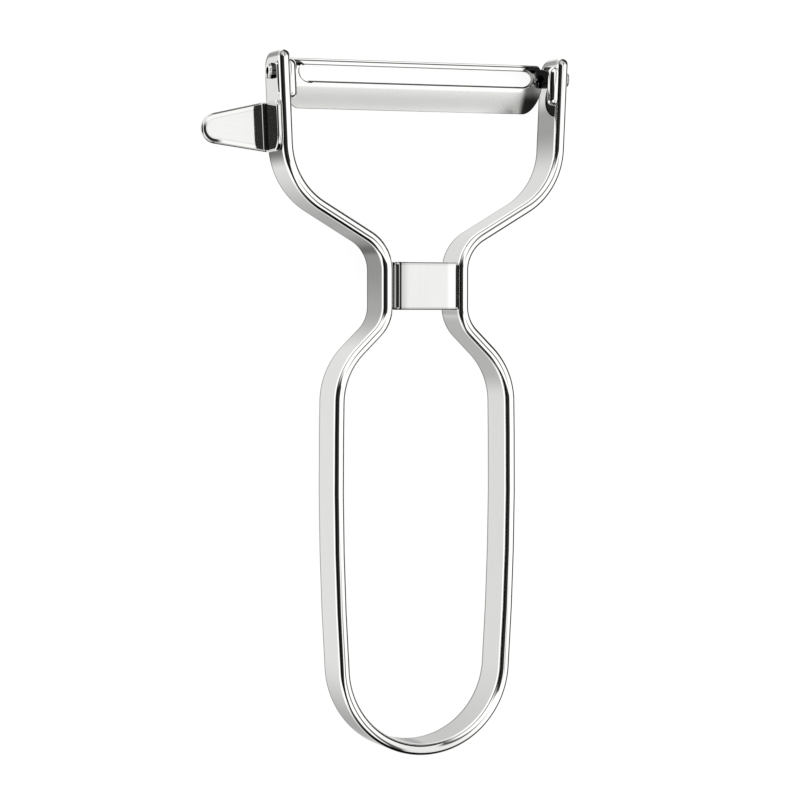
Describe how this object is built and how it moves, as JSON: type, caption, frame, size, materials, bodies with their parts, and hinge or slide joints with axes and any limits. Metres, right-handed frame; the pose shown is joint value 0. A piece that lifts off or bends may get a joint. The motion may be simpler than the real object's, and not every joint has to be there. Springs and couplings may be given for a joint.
{
  "type": "vegetable peeler",
  "caption": "Y-shaped peeler bent from one steel strip, with a swivelling slotted blade, a waist bridge and an eye remover tab.",
  "frame": {"origin": "under the middle of the bounding box, on the plane that the strip's rear long edges rest on", "axes": "+Y along the handle from the loop towards the blade, +Z away from the surface it rests on, +X to the side without the eye remover"},
  "size_m": [0.0604, 0.11, 0.0083],
  "materials": {
    "strip_steel": "polished stainless steel strip",
    "tab_steel": "tumbled stainless steel sheet",
    "blade_steel": "ground and polished stainless steel sheet"
  },
  "bodies": {
    "frame": {"frame_strip": "strip_steel", "waist_bridge": "tab_steel", "eye_remover": "tab_steel"},
    "blade": {"swivel_blade": "blade_steel"}
  },
  "joints": [
    {"name": "blade_swivel", "type": "hinge", "parent": "frame", "child": "blade", "pos_m": [0.00467, 0.0518, 0.00415], "axis": [1, 0, 0], "range_deg": [-55, 90]}
  ]
}
